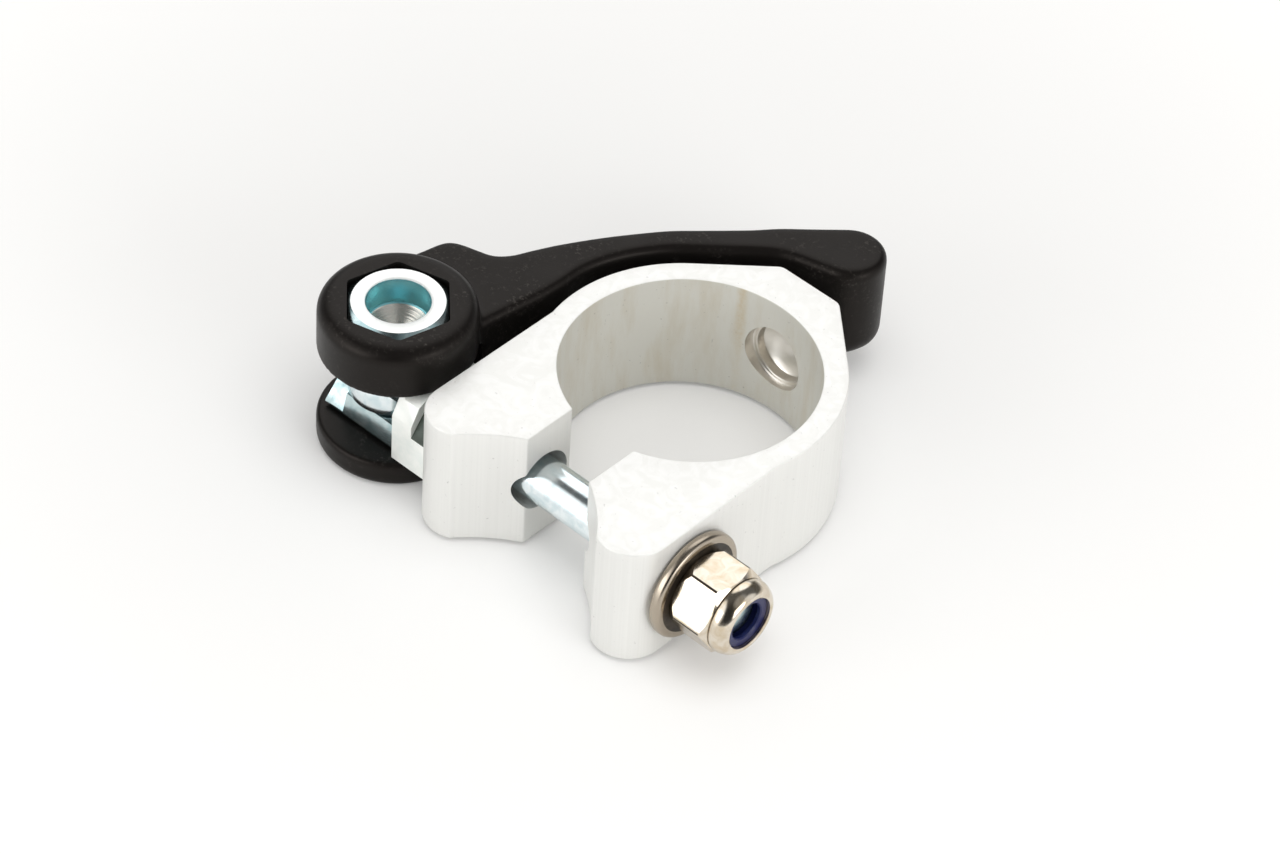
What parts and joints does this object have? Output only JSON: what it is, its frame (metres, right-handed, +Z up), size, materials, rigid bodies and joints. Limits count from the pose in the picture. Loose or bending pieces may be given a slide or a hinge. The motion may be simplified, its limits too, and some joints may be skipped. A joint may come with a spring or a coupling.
{
  "type": "seatpost clamp",
  "caption": "Quick-release seatpost clamp: split aluminium collar drawn closed across its slit by a bolt, a nut and a cam lever that hugs the ring.",
  "frame": {"origin": "centre of the seat tube bore in the plane of the collar's lower face", "axes": "+Z up along the bore, -Y to the slit and the bolt, +X along the bolt from the lever to the nut; metres"},
  "size_m": [0.0676, 0.0635, 0.0216],
  "materials": {
    "collar": "satin anodised extrusion",
    "washer": "nickel-plated steel",
    "nut": "bright nickel-plated steel",
    "nut_insert": "navy nylon",
    "eye_bolt": "clear-blue zinc plating",
    "cam_yoke": "clear-blue zinc plating",
    "cam_barrel": "clear-blue zinc plating",
    "lever": "black satin moulding"
  },
  "bodies": {
    "collar": {"collar": "collar"},
    "yoke": {"cam_yoke": "cam_yoke"},
    "lever": {"lever": "lever", "cam_barrel": "cam_barrel"},
    "bolt": {"eye_bolt": "eye_bolt"},
    "washer": {"washer": "washer"},
    "nut": {"nut": "nut", "nut_insert": "nut_insert"}
  },
  "joints": [
    {"name": "yoke_swivel", "type": "hinge", "parent": "collar", "child": "yoke", "pos_m": [-0.0213, -0.0197, 0.00855], "axis": [1, 0, 0], "range_deg": [-180, 180]},
    {"name": "lever_hinge", "type": "hinge", "parent": "yoke", "child": "lever", "pos_m": [-0.0295, -0.0197, 0.00855], "axis": [0, 0, 1], "range_deg": [0, 160]},
    {"name": "bolt_slide", "type": "slide", "parent": "yoke", "child": "bolt", "axis": [1, 0, 0], "range_m": [0, 0.00145]},
    {"name": "washer_slide", "type": "slide", "parent": "bolt", "child": "washer", "axis": [1, 0, 0], "range_m": [0, 0.004]},
    {"name": "nut_turn", "type": "hinge", "parent": "washer", "child": "nut", "pos_m": [0.024, -0.0197, 0.00855], "axis": [1, 0, 0], "range_deg": [0, 1440]}
  ],
  "couplings": [
    {"joint": "bolt_slide", "follows": "lever_hinge", "m_per_rad": 0.00051924},
    {"joint": "nut_turn", "follows": "washer_slide", "rad_per_m": 6283.2}
  ]
}
